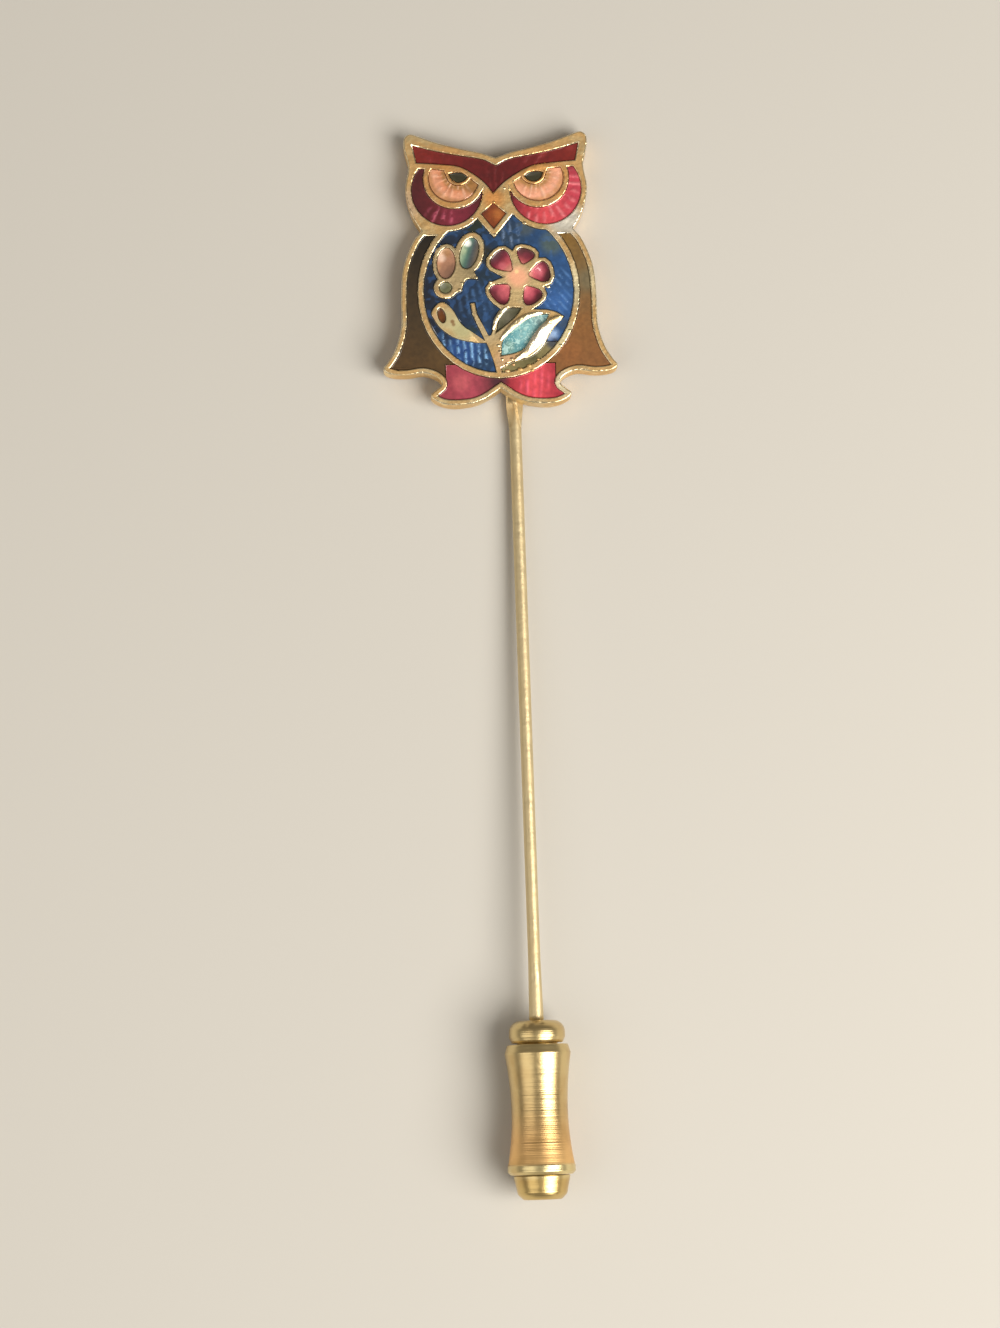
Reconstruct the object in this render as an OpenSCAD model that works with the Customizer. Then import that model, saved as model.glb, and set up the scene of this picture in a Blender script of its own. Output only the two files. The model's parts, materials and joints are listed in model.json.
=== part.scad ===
// Stick pin: an owl plate with enamel cells, a straight wire soldered to its back and a turned clutch.
// The pin is drawn flat first: x across the owl, y up the owl with 0 under its feet, z out of its face
// with 0 at the plate's back. Then lay_down() sets it on the surface as it lies by itself.

/* [Owl plate] */
// Width over the wing tips
owl_w = 15.5; // [13:0.5:20]
// Height from the feet to the ear tips
owl_h = 18.4; // [16:0.4:24]
// Thickness from the flat back to the top of the raised walls
plate_t = 1.5; // [1.2:0.1:2.4]
// Depth of the enamel cells
cell_depth = 0.55; // [0.3:0.05:0.8]
// Distance of the beak and the brow's point from the owl's middle, to the right
beak_side = -0.22; // [-0.6:0.02:0.6]

/* [Raised walls] */
// Width of the rim round the wings and feet
rim_w = 0.36; // [0.25:0.01:0.5]
// Width of the wall round the belly
belly_wall = 0.42; // [0.25:0.01:0.6]
// Width of the walls round the brow, eyes and beak
head_wall = 0.4; // [0.25:0.01:0.5]
// Width of the ring round each pupil
pupil_wall = 0.22; // [0.15:0.01:0.3]
// Width of the walls round the flower, the small leaf and the butterfly's side wing
motif_wall = 0.28; // [0.18:0.01:0.4]
// Width of the walls round the butterfly's upper and lower wing
wing_wall = 0.38; // [0.2:0.01:0.5]
// Radius of the gilt middle of the flower
flower_core = 0.9; // [0.6:0.05:1.2]
// Width of the gilt stem
stem_w = 0.42; // [0.3:0.02:0.6]
// Width of the gilt sprig beside it
sprig_w = 0.34; // [0.24:0.02:0.5]

/* [Enamel] */
// Gap between an enamel piece and the metal round it
enamel_gap = 0.03; // [0.02:0.01:0.05]
// Depth of the enamel's surface below the walls
enamel_sink = 0.06; // [0.02:0.01:0.15]
// Width of the narrowest cell that holds enamel
narrow_w = 0.16; // [0.1:0.02:0.24]

/* [Wire] */
// Diameter of the wire
wire_d = 0.8; // [0.6:0.05:1]
// Length of wire that shows between the feet and the clutch
wire_len = 40.6; // [25:0.5:60]
// Distance of the wire from the owl's middle at the feet, to the right
wire_side = 0.9; // [-3:0.1:3]
// Lean of the wire to the right on its way down, in degrees
wire_lean = 0.6; // [-3:0.1:3]
// Diameter of the wire's swelling above the clutch
swell_d = 0.95; // [0.85:0.05:1.2]
// Length over which the wire swells
swell_len = 4; // [2:0.5:8]
// Space between the wire's point and the clutch's end plug
point_gap = 0.4; // [0.2:0.1:1.2]
// Length of the point
point_len = 2.4; // [1:0.2:4]
// Width of the flattened end that is soldered to the plate
tail_w = 1.1; // [0.9:0.1:2]
// Thickness of the flattened end
tail_t = 0.5; // [0.4:0.05:0.6]
// Length of the flattened end under the plate
tail_len = 5.4; // [3:0.2:6]
// Length over which the flattened end narrows to the round wire
flare_len = 1.3; // [0.6:0.1:3]

/* [Clutch] */
// Diameter of the rounded collar
collar_d = 3.66; // [3:0.02:4.2]
// Height of the rounded collar
collar_h = 1.56; // [1:0.02:2.4]
// Length of the barrel
barrel_len = 8.4; // [6:0.2:12]
// Diameter of the barrel's upper rim
barrel_top_d = 4.32; // [3.8:0.02:5]
// Diameter of the barrel's waist
waist_d = 3.68; // [3.2:0.02:4]
// Diameter of the barrel's lower rim
barrel_foot_d = 4.42; // [3.8:0.02:5]
// Height of the band at the lower rim
band_h = 0.62; // [0.3:0.02:1]
// How far the band stands out from the barrel's side
band_rise = 0.05; // [0.02:0.01:0.12]
// Height of the bevel at the upper rim
bevel_h = 0.54; // [0.3:0.02:0.8]
// Height of the end plug
plug_h = 1.6; // [1:0.1:2.4]
// Diameter of the end plug at the barrel
plug_d = 3.72; // [3:0.02:3.8]
// Diameter of the end plug near its end
plug_end_d = 3.2; // [2.6:0.02:3.2]
// Diameter of the chamber inside the barrel
chamber_d = 2.4; // [2:0.1:2.6]
// Gap round the wire in the collar's bore
bore_gap = 0.05; // [0.03:0.01:0.1]
// Gap between the collar or plug and the barrel that they are set in
set_gap = 0.03; // [0.02:0.01:0.05]

/* [Hidden] */

// Colours, as the photo shows them
gilt = "#d3b46c";
maroon = "#7a2433";
magenta = "#b23350";
salmon = "#e6a488";
olive = "#3f3d28";
amber = "#b0622a";
blue = "#2b5590";
crimson = "#bf3f62";
teal = "#7ba9a4";
shell_pink = "#c9907e";
grey_green = "#7d8468";
rust = "#8a4a1a";
aqua = "#93cdd0";
brown_dark = "#5f4a2a";
brown_light = "#87603a";
raspberry = "#cf4a66";
brass = "#c9a75c";

// Fineness of curves and of round metal
curve_steps = 4;
oval_steps = 40;
small_oval_steps = 20;
$fn = 48;

// Heights in the plate
cell_floor = plate_t - cell_depth;
enamel_t = cell_depth - enamel_gap - enamel_sink;

// The tail is sunk into the solder at the plate's back, and the wire's axis runs on from its middle
solder_bite = 0.05;
wire_drop = tail_t / 2 - solder_bite;
wire_r = wire_d / 2;
// The swelling ends just above the clutch, in a short step back to the wire
mouth_gap = 0.1;
swell_end = wire_len - mouth_gap;
swell_step = 0.15;
// Radius of the point's tip
point_r = 0.04;

// Distances from the feet down the wire to the clutch's parts
barrel_top = wire_len + collar_h;
barrel_end = barrel_top + barrel_len;
plug_end = barrel_end + plug_h;
// How far the collar and the plug reach into the barrel's chamber, and their radius there
collar_spigot = 2.2;
plug_spigot = 1;
spigot_r = chamber_d / 2 - set_gap;
wire_end = barrel_end - plug_spigot - point_gap;
bore_r = wire_r + bore_gap;
// The collar's top: a flat, a quarter round down to its widest place, then a taper to its foot
collar_flat_r = 1.1;
collar_round_h = 0.74;
collar_taper_h = 0.36;
collar_foot_r = collar_d / 2 - 0.16;
collar_steps = 6;
// The groove between collar and barrel: its height and how far it stands outside the chamber
groove_h = 0.12;
// The barrel's upper rim is cut back at its top, its lower band and the plug at their ends
rim_cut = 0.17;
band_cut = 0.2;
plug_cut = 0.35;
// The waist's place as a share of the barrel's hollow side
waist_share = 0.52;
// Straight stretches in each half of that side
bow_steps = 7;

// Shares of the owl: columns are across (half widths from the middle), down (heights from the ear
// tips) and corner (1 where the outline turns sharply). A half outline runs from top to bottom.
outline_half = [
    [0, 0.093, 1], [0.145, 0.072, 0], [0.307, 0.057, 0], [0.529, 0.03, 0], [0.7, 0.003, 0],
    [0.745, 0.001, 0], [0.785, 0.018, 0], [0.784, 0.06, 0], [0.751, 0.122, 0], [0.781, 0.21, 0],
    [0.73, 0.3, 0], [0.652, 0.36, 1], [0.725, 0.4, 0], [0.812, 0.495, 0], [0.836, 0.6, 0],
    [0.84, 0.71, 0], [0.896, 0.795, 0], [0.965, 0.843, 0], [1, 0.866, 0], [0.94, 0.884, 0],
    [0.802, 0.889, 0], [0.658, 0.882, 0], [0.541, 0.9, 0], [0.506, 0.925, 0], [0.565, 0.95, 0],
    [0.6, 0.965, 0], [0.56, 0.984, 0], [0.453, 1, 0], [0.256, 0.997, 0], [0.137, 0.98, 0], [0, 0.943, 1],
];
brow_half = [
    [0, 0.122, 1], [0.111, 0.099, 0], [0.316, 0.083, 0], [0.512, 0.066, 0], [0.716, 0.042, 1],
    [0.682, 0.107, 1], [0.57, 0.11, 0], [0.47, 0.114, 0], [0.316, 0.123, 0], [0.184, 0.152, 0],
    [0.075, 0.187, 0], [0, 0.224, 1],
];
beak_half = [[0, 0.261, 1], [0.107, 0.3, 1], [0, 0.356, 1]];
pupil_line = [
    [0.243, 0.162, 1], [0.282, 0.15, 0], [0.342, 0.146, 0], [0.406, 0.149, 1], [0.384, 0.17, 0],
    [0.337, 0.182, 0], [0.278, 0.177, 0],
];
bud_outline = [
    [-0.582, 0.659, 0], [-0.567, 0.68, 0], [-0.511, 0.716, 0], [-0.397, 0.753, 0], [-0.231, 0.773, 0],
    [-0.105, 0.776, 1], [-0.196, 0.748, 0], [-0.327, 0.704, 0], [-0.406, 0.647, 0], [-0.497, 0.622, 0],
];
leaf_small_line = [
    [-0.03, 0.738, 1], [0.069, 0.706, 0], [0.148, 0.676, 0], [0.192, 0.65, 1], [0.081, 0.651, 0],
    [0.007, 0.679, 0],
];
leaf_large_line = [
    [0.007, 0.824, 1], [0.15, 0.811, 0], [0.275, 0.778, 0], [0.37, 0.726, 0], [0.425, 0.674, 1],
    [0.276, 0.681, 0], [0.172, 0.709, 0], [0.093, 0.734, 0], [0.026, 0.769, 0],
];
leaf_large_outline = [
    [-0.004, 0.864, 0], [0.097, 0.847, 0], [0.264, 0.828, 0], [0.383, 0.783, 0], [0.444, 0.727, 0],
    [0.555, 0.684, 1], [0.482, 0.665, 0], [0.374, 0.656, 0], [0.257, 0.668, 0], [0.105, 0.709, 0],
    [-0.032, 0.757, 0],
];
butterfly_body = [
    [-0.297, 0.495, 1], [-0.208, 0.513, 1], [-0.176, 0.542, 1], [-0.268, 0.541, 0], [-0.3, 0.56, 0],
    [-0.317, 0.582, 1], [-0.37, 0.592, 1], [-0.387, 0.543, 1],
];
stem_line = [[-0.105, 0.7535], [-0.065, 0.7975], [-0.029, 0.842], [-0.01, 0.89]];
sprig_line = [[-0.227, 0.627], [-0.211, 0.669], [-0.162, 0.716], [-0.105, 0.765]];

// Rings in shares of the owl: across, down, half width, half height
surround_ring = [0.423, 0.21, 0.307, 0.1314];
eye_ring = [0.363, 0.1688, 0.265, 0.1115];
iris_ring = [0.363, 0.1688, 0.216, 0.0855];
belly_ring = [0, 0.587, 0.643, 0.2975];

// Ovals of the butterfly and bud: across, down, half length, half width (shares of half the owl's
// width), turn from upright in degrees, clockwise
upper_oval = [-0.245, 0.4447, 0.14, 0.077, 17];
side_oval = [-0.445, 0.48, 0.135, 0.08, 4];
lower_oval = [-0.455, 0.57, 0.049, 0.054, 0];
spot_oval = [-0.494, 0.6725, 0.066, 0.034, -14];

// The flower's middle, and its petals: turn in degrees from the right, distances of their inner and
// outer ends from the middle, and half width, all in shares of half the owl's width
flower_middle = [0.173, 0.536];
petals = [
    [135, 0.082, 0.286, 0.092], [72, 0.122, 0.256, 0.079], [11.5, 0.09, 0.273, 0.09],
    [-56, 0.1, 0.265, 0.09], [-138.5, 0.108, 0.282, 0.1],
];
// Half a petal from its inner end to its outer end: share of its length, share of its half width
petal_half = [[0, 0.12], [0.25, 0.55], [0.5, 0.88], [0.68, 1], [0.84, 0.94], [0.96, 0.64], [1, 0.24]];

// Widest gaps that are metal too, inside the flower and between the other motifs
flower_gap = 0.9;
motif_gap = 0.4;

// Shares of the owl where the wings' enamel starts, where it meets the feet's, where the feet are
// all their own, and where the blue meets the leaf's shade
neck_share = 0.378;
feet_side_share = 0.47;
feet_share = 0.853;
toes_share = 0.92;
shade_share = 0.775;

function at(s) = [s[0] * owl_w / 2, (1 - s[1]) * owl_h];
function row(p, i) = p[(i + len(p)) % len(p)];
function heading(p, i) = let (d = at(row(p, i + 1)) - at(row(p, i - 1))) d / norm(d);
function pull(p, i, chord) = row(p, i)[2] == 1 ? chord : norm(chord) * heading(p, i);
function blend(a, b, from_a, to_b, t) =
    (2 * t ^ 3 - 3 * t ^ 2 + 1) * a + (t ^ 3 - 2 * t ^ 2 + t) * from_a
    + (3 * t ^ 2 - 2 * t ^ 3) * b + (t ^ 3 - t ^ 2) * to_b;
// A closed smooth line through the rows of a table, sharp at its corners
function curve(p) = [
    for (i = [0:len(p) - 1])
        let (a = at(p[i]), b = at(row(p, i + 1)), chord = b - a)
            for (k = [0:curve_steps - 1])
                blend(a, b, pull(p, i, chord), pull(p, i + 1, chord), k / curve_steps)
];
function both_sides(half) = concat(half, [
    for (i = [len(half) - 2:-1:1]) [-half[i][0], half[i][1], half[i][2]]
]);
// The brow leans sideways below its dip, so that its point meets the beak
brow_dip = brow_half[0][1];
brow_tip = row(brow_half, -1)[1];
function brow_row(r) =
    [r[0] + 2 * beak_side / owl_w * max(0, (r[1] - brow_dip) / (brow_tip - brow_dip)), r[1], r[2]];
// Rows and rings of an eye are for the right one: side is 1 there, and -1 draws them on the left
function on_side(p, side) = [for (r = p) [side * r[0], r[1], r[2]]];
function ring(r, side = 1) = [
    for (k = [0:oval_steps - 1])
        let (a = 360 * k / oval_steps) at([side * r[0] + r[2] * cos(a), r[1] + r[3] * sin(a)])
];
function turned(p, turn) = [p[0] * cos(turn) - p[1] * sin(turn), p[0] * sin(turn) + p[1] * cos(turn)];
function oval(o) = [
    for (k = [0:small_oval_steps - 1])
        let (a = 360 * k / small_oval_steps)
            at(o) + owl_w / 2 * turned([o[3] * cos(a), o[2] * sin(a)], -o[4])
];
// A petal's outline in millimetres, by its row in the table
function petal_point(p, s, side) = at(flower_middle)
    + owl_w / 2 * turned([p[1] + s[0] * (p[2] - p[1]), side * s[1] * p[3]], p[0]);
function petal_side(p, side) = [for (s = petal_half) petal_point(p, s, side)];
function petal_outline(p) = concat(petal_side(p, 1), reversed(petal_side(p, -1)));
function reversed(p) = [for (i = [len(p) - 1:-1:0]) p[i]];
// One edge of a stroke along a line of points
function line_side(p, out) = [
    for (i = [0:len(p) - 1])
        let (d = at(p[min(i + 1, len(p) - 1)]) - at(p[max(i - 1, 0)]))
            at(p[i]) + out * [-d[1], d[0]] / norm(d)
];

// The barrel's outer line, from the bevel to the band: distance below the barrel's top, radius. It is
// hollow like a bow, and a short slope leads from it out to the band.
band_top = barrel_len - band_h;
side_end = band_top - band_rise;
waist_down = bevel_h + (side_end - bevel_h) * waist_share;
function bow(down, end, end_d) =
    waist_d / 2 + (end_d - waist_d) / 2 * pow((down - waist_down) / (end - waist_down), 2);
function bow_side(from, to, end, end_d) = [
    for (k = [0:bow_steps]) let (down = from + (to - from) * k / bow_steps) [down, bow(down, end, end_d)]
];
barrel_side = concat(
    bow_side(bevel_h, waist_down, bevel_h, barrel_top_d),
    bow_side(waist_down + (side_end - waist_down) / bow_steps, side_end,
        side_end, barrel_foot_d - 2 * band_rise),
    [[band_top, barrel_foot_d / 2]]
);

// The pin rests on its ear tips and on the barrel's widest place: the tilt is the steepest line between
down_share = cos(wire_lean);
rest_tilt = max([for (p = barrel_side) atan2(p[1] + wire_drop, owl_h + (barrel_top + p[0]) * down_share)]);
rest_lift = owl_h * sin(rest_tilt);
front_y = owl_h * cos(rest_tilt) + plate_t * sin(rest_tilt);
back_y = -plug_end * down_share * cos(rest_tilt) - (wire_drop + plug_end_d / 2) * sin(rest_tilt);

// The pin set down as it lies, with the middle of its length over the origin
module lay_down() {
    translate([0, -(front_y + back_y) / 2, rest_lift]) rotate([-rest_tilt, 0, 0]) children();
}

// A turned piece round the wire's axis: its profile has radius across and distance below the feet up
module turned_piece() {
    translate([wire_side, 0, -wire_drop]) rotate([90, 0, wire_lean]) rotate_extrude() children();
}

// Outlines of the metal

module face() {
    polygon(curve(both_sides(outline_half)));
}

module head() {
    offset(delta = head_wall) {
        brow_cell();
        beak_cell();
        for (side = [-1, 1]) polygon(ring(surround_ring, side));
    }
}

module belly() {
    polygon(ring(belly_ring));
}

module line(points, width) {
    polygon(concat(line_side(points, width / 2), reversed(line_side(points, -width / 2))));
}

// Metal with its narrow gaps closed
module filled(gap) {
    children();
    offset(delta = -gap / 2) offset(delta = gap / 2) children();
}

module flower() {
    filled(flower_gap) {
        offset(delta = motif_wall) for (p = petals) polygon(petal_outline(p));
        translate(at(flower_middle)) circle(flower_core);
    }
}

module butterfly() {
    filled(motif_gap) {
        offset(delta = motif_wall) polygon(oval(side_oval));
        offset(delta = wing_wall) {
            polygon(oval(upper_oval));
            polygon(oval(lower_oval));
        }
        polygon(curve(butterfly_body));
    }
}

module motifs() {
    butterfly();
    filled(motif_gap) {
        offset(delta = motif_wall) leaf_small_cell();
        flower();
        polygon(curve(bud_outline));
        polygon(curve(leaf_large_outline));
        line(stem_line, stem_w);
        line(sprig_line, sprig_w);
    }
}

// Cells, which the enamel fills

module brow_cell() {
    polygon(curve([for (r = both_sides(brow_half)) brow_row(r)]));
}

module brow_border() {
    offset(delta = head_wall) brow_cell();
}

module eye_surround_cell(side) {
    difference() {
        polygon(ring(surround_ring, side));
        polygon(ring(eye_ring, side));
        brow_border();
    }
}

module pupil_cell(side) {
    polygon(curve(on_side(pupil_line, side)));
}

module iris_cell(side) {
    difference() {
        polygon(ring(iris_ring, side));
        brow_border();
        offset(delta = pupil_wall) pupil_cell(side);
    }
}

module beak_cell() {
    translate([beak_side, 0]) polygon(curve(both_sides(beak_half)));
}

module butterfly_cells() {
    for (o = [upper_oval, side_oval, lower_oval]) polygon(oval(o));
}

module leaf_small_cell() {
    polygon(curve(leaf_small_line));
}

module leaf_large_cell() {
    polygon(curve(leaf_large_line));
}

module belly_cell() {
    difference() {
        belly();
        head();
        motifs();
    }
}

module skirt_cell() {
    difference() {
        intersection() {
            offset(delta = -rim_w) face();
            below(neck_share);
        }
        offset(delta = belly_wall) belly();
        head();
    }
}

module cells() {
    brow_cell();
    for (side = [-1, 1]) {
        eye_surround_cell(side);
        iris_cell(side);
        pupil_cell(side);
    }
    beak_cell();
    belly_cell();
    skirt_cell();
    for (p = petals) polygon(petal_outline(p));
    butterfly_cells();
    polygon(oval(spot_oval));
    leaf_small_cell();
    leaf_large_cell();
}

// The enamel in a cell: it stays clear of the metal and out of the places that are too narrow for it
module enamel_outline() {
    offset(delta = -enamel_gap) intersection() {
        children();
        offset(delta = narrow_w / 2) offset(delta = -narrow_w / 2) children();
    }
}

// Parts of the owl that divide a cell between two colours

module below(down) {
    translate([-owl_w, -owl_h]) square([2 * owl_w, at([0, down])[1] + owl_h]);
}

module right_half() {
    translate([0, -owl_h]) square([owl_w, 3 * owl_h]);
}

module feet_part() {
    below(toes_share);
    intersection() {
        below(feet_share);
        square([feet_side_share * owl_w, 2 * owl_h], center = true);
    }
}

module shade_part() {
    intersection() {
        below(shade_share);
        right_half();
    }
}

// Metal

module plate() {
    difference() {
        linear_extrude(plate_t) face();
        translate([0, 0, cell_floor]) linear_extrude(plate_t)
            offset(delta = enamel_gap) enamel_outline() cells();
    }
}

module wire() {
    turned_piece() polygon([
        [0, -flare_len], [tail_t / 2 - solder_bite, -flare_len], [wire_r, flare_len],
        [wire_r, swell_end - swell_len], [swell_d / 2, swell_end], [wire_r, swell_end + swell_step],
        [wire_r, wire_end - point_len], [point_r, wire_end], [0, wire_end],
    ]);
}

module tail() {
    cut = tail_w / 4;
    translate([wire_side, 0, solder_bite - tail_t]) rotate([0, 0, wire_lean]) linear_extrude(tail_t) polygon([
        [-wire_r, -flare_len], [wire_r, -flare_len], [tail_w / 2, 0], [tail_w / 2, tail_len - cut],
        [cut, tail_len], [-cut, tail_len], [-tail_w / 2, tail_len - cut], [-tail_w / 2, 0],
    ]);
}

module owl_and_wire() {
    color(gilt) lay_down() union() {
        plate();
        tail();
        wire();
    }
}

// Enamel

module enamel(paint) {
    color(paint) lay_down() translate([0, 0, cell_floor + enamel_gap]) linear_extrude(enamel_t)
        enamel_outline() children();
}

module brow() { enamel(maroon) brow_cell(); }
module eye_surround_left() { enamel(magenta) eye_surround_cell(-1); }
module eye_surround_right() { enamel(magenta) eye_surround_cell(1); }
module iris_left() { enamel(salmon) iris_cell(-1); }
module iris_right() { enamel(salmon) iris_cell(1); }
module pupil_left() { enamel(olive) pupil_cell(-1); }
module pupil_right() { enamel(olive) pupil_cell(1); }
module beak() { enamel(amber) beak_cell(); }
module petal_1() { enamel(crimson) polygon(petal_outline(petals[0])); }
module petal_2() { enamel(crimson) polygon(petal_outline(petals[1])); }
module petal_3() { enamel(crimson) polygon(petal_outline(petals[2])); }
module petal_4() { enamel(crimson) polygon(petal_outline(petals[3])); }
module petal_5() { enamel(crimson) polygon(petal_outline(petals[4])); }
module butterfly_upper() { enamel(teal) polygon(oval(upper_oval)); }
module butterfly_side() { enamel(shell_pink) polygon(oval(side_oval)); }
module butterfly_lower() { enamel(grey_green) polygon(oval(lower_oval)); }
module bud_spot() { enamel(rust) polygon(oval(spot_oval)); }
module leaf_small() { enamel(olive) leaf_small_cell(); }
module leaf_large() { enamel(aqua) leaf_large_cell(); }

module belly_blue() {
    enamel(blue) difference() {
        belly_cell();
        shade_part();
    }
}

module leaf_shade() {
    enamel(olive) intersection() {
        belly_cell();
        shade_part();
    }
}

module wing_side() {
    intersection() {
        difference() {
            skirt_cell();
            feet_part();
        }
        right_half();
    }
}

module wing_left() { enamel(brown_dark) mirror([1, 0]) wing_side(); }
module wing_right() { enamel(brown_light) wing_side(); }

module feet() {
    enamel(raspberry) intersection() {
        skirt_cell();
        feet_part();
    }
}

// Clutch

module clutch_collar() {
    round_r = collar_d / 2 - collar_flat_r;
    groove_top = barrel_top - groove_h;
    groove_r = chamber_d / 2 + groove_h;
    color(brass) lay_down() turned_piece() polygon(concat(
        [[bore_r, barrel_top + collar_spigot], [bore_r, wire_len]],
        [for (k = [0:collar_steps]) let (a = 90 * k / collar_steps)
            [collar_flat_r + round_r * sin(a), wire_len + collar_round_h * (1 - cos(a))]],
        [[collar_d / 2, groove_top - collar_taper_h], [collar_foot_r, groove_top], [groove_r, groove_top],
            [groove_r, barrel_top - set_gap], [spigot_r, barrel_top - set_gap],
            [spigot_r, barrel_top + collar_spigot]]
    ));
}

module clutch_barrel() {
    color(brass) lay_down() turned_piece() polygon(concat(
        [[chamber_d / 2, barrel_end], [chamber_d / 2, barrel_top], [barrel_top_d / 2 - rim_cut, barrel_top]],
        [for (p = barrel_side) [p[1], barrel_top + p[0]]],
        [[barrel_foot_d / 2, barrel_end - band_cut], [barrel_foot_d / 2 - band_cut, barrel_end]]
    ));
}

module clutch_plug() {
    plug_top = barrel_end + set_gap;
    color(brass) lay_down() turned_piece() polygon([
        [0, barrel_end - plug_spigot], [spigot_r, barrel_end - plug_spigot], [spigot_r, plug_top],
        [plug_d / 2, plug_top], [plug_end_d / 2, plug_end - plug_cut],
        [plug_end_d / 2 - plug_cut, plug_end], [0, plug_end],
    ]);
}

owl_and_wire();
brow();
eye_surround_left();
eye_surround_right();
iris_left();
iris_right();
pupil_left();
pupil_right();
beak();
belly_blue();
petal_1();
petal_2();
petal_3();
petal_4();
petal_5();
butterfly_upper();
butterfly_side();
butterfly_lower();
bud_spot();
leaf_small();
leaf_large();
leaf_shade();
wing_left();
wing_right();
feet();
clutch_collar();
clutch_barrel();
clutch_plug();
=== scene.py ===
import json
import math

import bpy
from mathutils import Matrix, Vector


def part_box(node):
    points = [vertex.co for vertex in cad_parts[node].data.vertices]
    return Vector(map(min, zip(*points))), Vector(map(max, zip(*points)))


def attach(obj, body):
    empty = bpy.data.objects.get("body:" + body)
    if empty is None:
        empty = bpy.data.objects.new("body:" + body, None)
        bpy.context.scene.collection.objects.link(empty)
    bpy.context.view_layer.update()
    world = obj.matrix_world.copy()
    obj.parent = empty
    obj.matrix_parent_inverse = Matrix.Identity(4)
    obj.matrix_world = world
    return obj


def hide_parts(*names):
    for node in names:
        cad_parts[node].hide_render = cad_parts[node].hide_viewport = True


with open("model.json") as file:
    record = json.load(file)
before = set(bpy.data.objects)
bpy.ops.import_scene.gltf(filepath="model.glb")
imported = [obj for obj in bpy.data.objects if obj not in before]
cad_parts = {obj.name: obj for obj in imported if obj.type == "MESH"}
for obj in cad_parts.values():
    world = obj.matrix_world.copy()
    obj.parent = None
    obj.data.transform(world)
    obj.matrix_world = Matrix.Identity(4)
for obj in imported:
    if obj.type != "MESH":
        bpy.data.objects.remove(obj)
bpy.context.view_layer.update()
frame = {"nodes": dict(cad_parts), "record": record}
cadNodes = frame["nodes"]
mm = 0.001

# The owl's own flat frame: x to the right, y up from the feet, z out of the face, in mm.
owl = {"height": 18.4, "plate": 1.5}
wireAxis = frame["record"]["mounts"][0]["axis"]
restTilt = math.atan2(wireAxis[2], -wireAxis[1])
wireLean = math.asin(wireAxis[0])
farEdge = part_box("owl_and_wire")[1][1] / mm
feetY = farEdge - owl["height"] * math.cos(restTilt) - owl["plate"] * math.sin(restTilt)
feetZ = owl["height"] * math.sin(restTilt)
layDown = Matrix.Translation((0, feetY * mm, feetZ * mm)) @ Matrix.Rotation(-restTilt, 4, "X")
print("the pin lies tilted by", round(math.degrees(restTilt), 3), "degrees")


# Picking and shaping

# Points this near in mm are joined, and so are faces that are level to this many degrees
merging = {"reach": 0.001, "level": 1}


def makeActive(piece):
    bpy.ops.object.select_all(action="DESELECT")
    piece.select_set(True)
    bpy.context.view_layer.objects.active = piece


def flatCopy(nodeName, pieceName):
    # a merged copy of a CAD node, stood back up in the owl's flat frame
    node = cadNodes[nodeName]
    mesh = node.data.copy()
    mesh.name = pieceName
    mesh.materials.clear()
    mesh.transform(layDown.inverted() @ node.matrix_world)
    piece = bpy.data.objects.new(pieceName, mesh)
    bpy.context.scene.collection.objects.link(piece)
    makeActive(piece)
    bpy.ops.object.mode_set(mode="EDIT")
    bpy.ops.mesh.select_all(action="SELECT")
    bpy.ops.mesh.remove_doubles(threshold=merging["reach"] * mm)
    bpy.ops.mesh.dissolve_limited(angle_limit=math.radians(merging["level"]))
    bpy.ops.mesh.select_all(action="DESELECT")
    bpy.ops.object.mode_set(mode="OBJECT")
    return piece


def clearPicks(mesh):
    for part in (mesh.vertices, mesh.edges, mesh.polygons):
        part.foreach_set("select", [False] * len(part))


def pickEdges(piece, wanted):
    # wanted(ends in mm, the bend between the two faces in degrees)
    mesh = piece.data
    clearPicks(mesh)
    sides = {}
    for face in mesh.polygons:
        for key in face.edge_keys:
            sides.setdefault(key, []).append(face.normal)
    for edge in mesh.edges:
        normals = sides[edge.key]
        ends = [mesh.vertices[i].co / mm for i in edge.vertices]
        bend = math.degrees(normals[0].angle(normals[-1], 0))
        if wanted(ends, bend):
            edge.select = True
            for i in edge.vertices:
                mesh.vertices[i].select = True


def pickFaces(piece, wanted):
    # wanted(middle in mm, normal)
    mesh = piece.data
    clearPicks(mesh)
    for face in mesh.polygons:
        if wanted(face.center / mm, face.normal):
            face.select = True
            for i in face.vertices:
                mesh.vertices[i].select = True


def editPicked(piece, mode, *steps):
    makeActive(piece)
    bpy.context.tool_settings.mesh_select_mode = (False, mode == "EDGE", mode == "FACE")
    bpy.ops.object.mode_set(mode="EDIT")
    for operator, settings in steps:
        operator(**settings)
    bpy.ops.mesh.select_all(action="DESELECT")
    bpy.ops.object.mode_set(mode="OBJECT")


def smoothShading(piece, smoothAngle, level):
    # level: the large flat faces keep their own normals, so only the rounded edges turn the light
    makeActive(piece)
    bpy.ops.object.shade_smooth_by_angle(angle=math.radians(smoothAngle))
    if level:
        bpy.ops.object.modifier_add(type="WEIGHTED_NORMAL")
        piece.modifiers[-1].keep_sharp = True
        bpy.ops.object.modifier_apply(modifier=piece.modifiers[-1].name)


def finishPiece(piece, body, material, smoothAngle, replaced=(), level=False):
    piece.data.transform(layDown)
    if not piece.data.materials:
        piece.data.materials.append(material)
    smoothShading(piece, smoothAngle, level)
    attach(piece, body)
    if replaced:
        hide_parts(*replaced)


# Materials

spotCore = 0.3   # the share of a spot's radius that has its full strength


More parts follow.
